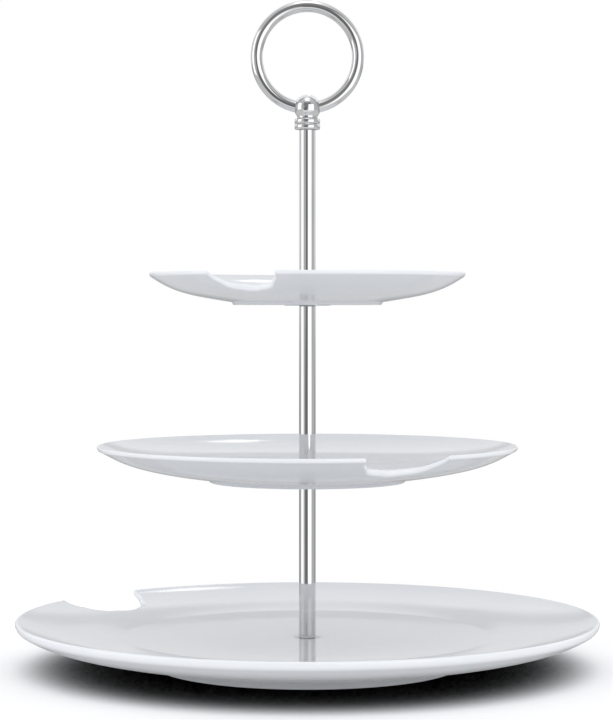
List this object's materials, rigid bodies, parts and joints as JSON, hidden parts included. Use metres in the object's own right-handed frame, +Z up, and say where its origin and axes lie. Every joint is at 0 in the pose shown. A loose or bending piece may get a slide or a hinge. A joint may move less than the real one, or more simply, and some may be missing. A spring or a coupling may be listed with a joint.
{
  "type": "tiered cake stand",
  "caption": "Three-tier serving stand: round porcelain coupe plates with scalloped notches, clamped between screwed polished rods, under an upright carrying ring.",
  "frame": {"origin": "on the rod's axis in the plane that the bottom plate's foot ring stands on", "axes": "+Z up along the rods, +X to the right and -Y towards a person who faces the carrying ring"},
  "size_m": [0.28, 0.28, 0.3198],
  "materials": {
    "porcelain": "clear glossy glaze over white porcelain, unglazed foot rings",
    "polished_steel": "mirror polished",
    "plain_steel": "plain zinc grey",
    "rubber_seal": "matt",
    "nylon": "matt, slightly translucent"
  },
  "bodies": {
    "base": {"bottom_plate": "porcelain"},
    "spindle": {"lower_rod": "polished_steel", "base_rod_washer": "nylon", "base_screw": "plain_steel", "base_washer": "plain_steel", "base_gasket": "rubber_seal", "middle_support_washer": "plain_steel", "middle_gasket": "rubber_seal"},
    "middle_tier": {"middle_plate": "porcelain"},
    "middle_lift": {"middle_rod_washer": "nylon"},
    "middle_spindle": {"middle_rod": "polished_steel", "middle_joint_stud": "plain_steel", "top_support_washer": "plain_steel", "top_gasket": "rubber_seal"},
    "top_tier": {"top_plate": "porcelain"},
    "top_lift": {"top_rod_washer": "nylon"},
    "handle": {"upper_rod": "polished_steel", "top_joint_stud": "plain_steel", "handle_collar": "polished_steel", "handle_ball": "polished_steel", "handle_ring": "polished_steel"}
  },
  "joints": [
    {"name": "spindle_turn", "type": "hinge", "parent": "base", "child": "spindle", "pos_m": [0, 0, 0.0133], "axis": [0, 0, 1], "continuous": true},
    {"name": "middle_plate_turn", "type": "hinge", "parent": "spindle", "child": "middle_tier", "pos_m": [0, 0, 0.0925], "axis": [0, 0, 1], "continuous": true},
    {"name": "middle_rod_lift", "type": "slide", "parent": "spindle", "child": "middle_lift", "axis": [0, 0, 1], "range_m": [0, 0.004]},
    {"name": "middle_rod_turn", "type": "hinge", "parent": "middle_lift", "child": "middle_spindle", "pos_m": [0, 0, 0.0972], "axis": [0, 0, 1], "range_deg": [0, 1800]},
    {"name": "top_plate_turn", "type": "hinge", "parent": "middle_spindle", "child": "top_tier", "pos_m": [0, 0, 0.1757], "axis": [0, 0, 1], "continuous": true},
    {"name": "handle_lift", "type": "slide", "parent": "middle_spindle", "child": "top_lift", "axis": [0, 0, 1], "range_m": [0, 0.004]},
    {"name": "handle_turn", "type": "hinge", "parent": "top_lift", "child": "handle", "pos_m": [0, 0, 0.1797], "axis": [0, 0, 1], "range_deg": [0, 1800]}
  ],
  "couplings": [
    {"joint": "middle_rod_turn", "follows": "middle_rod_lift", "rad_per_m": 7854},
    {"joint": "handle_turn", "follows": "handle_lift", "rad_per_m": 7854}
  ]
}
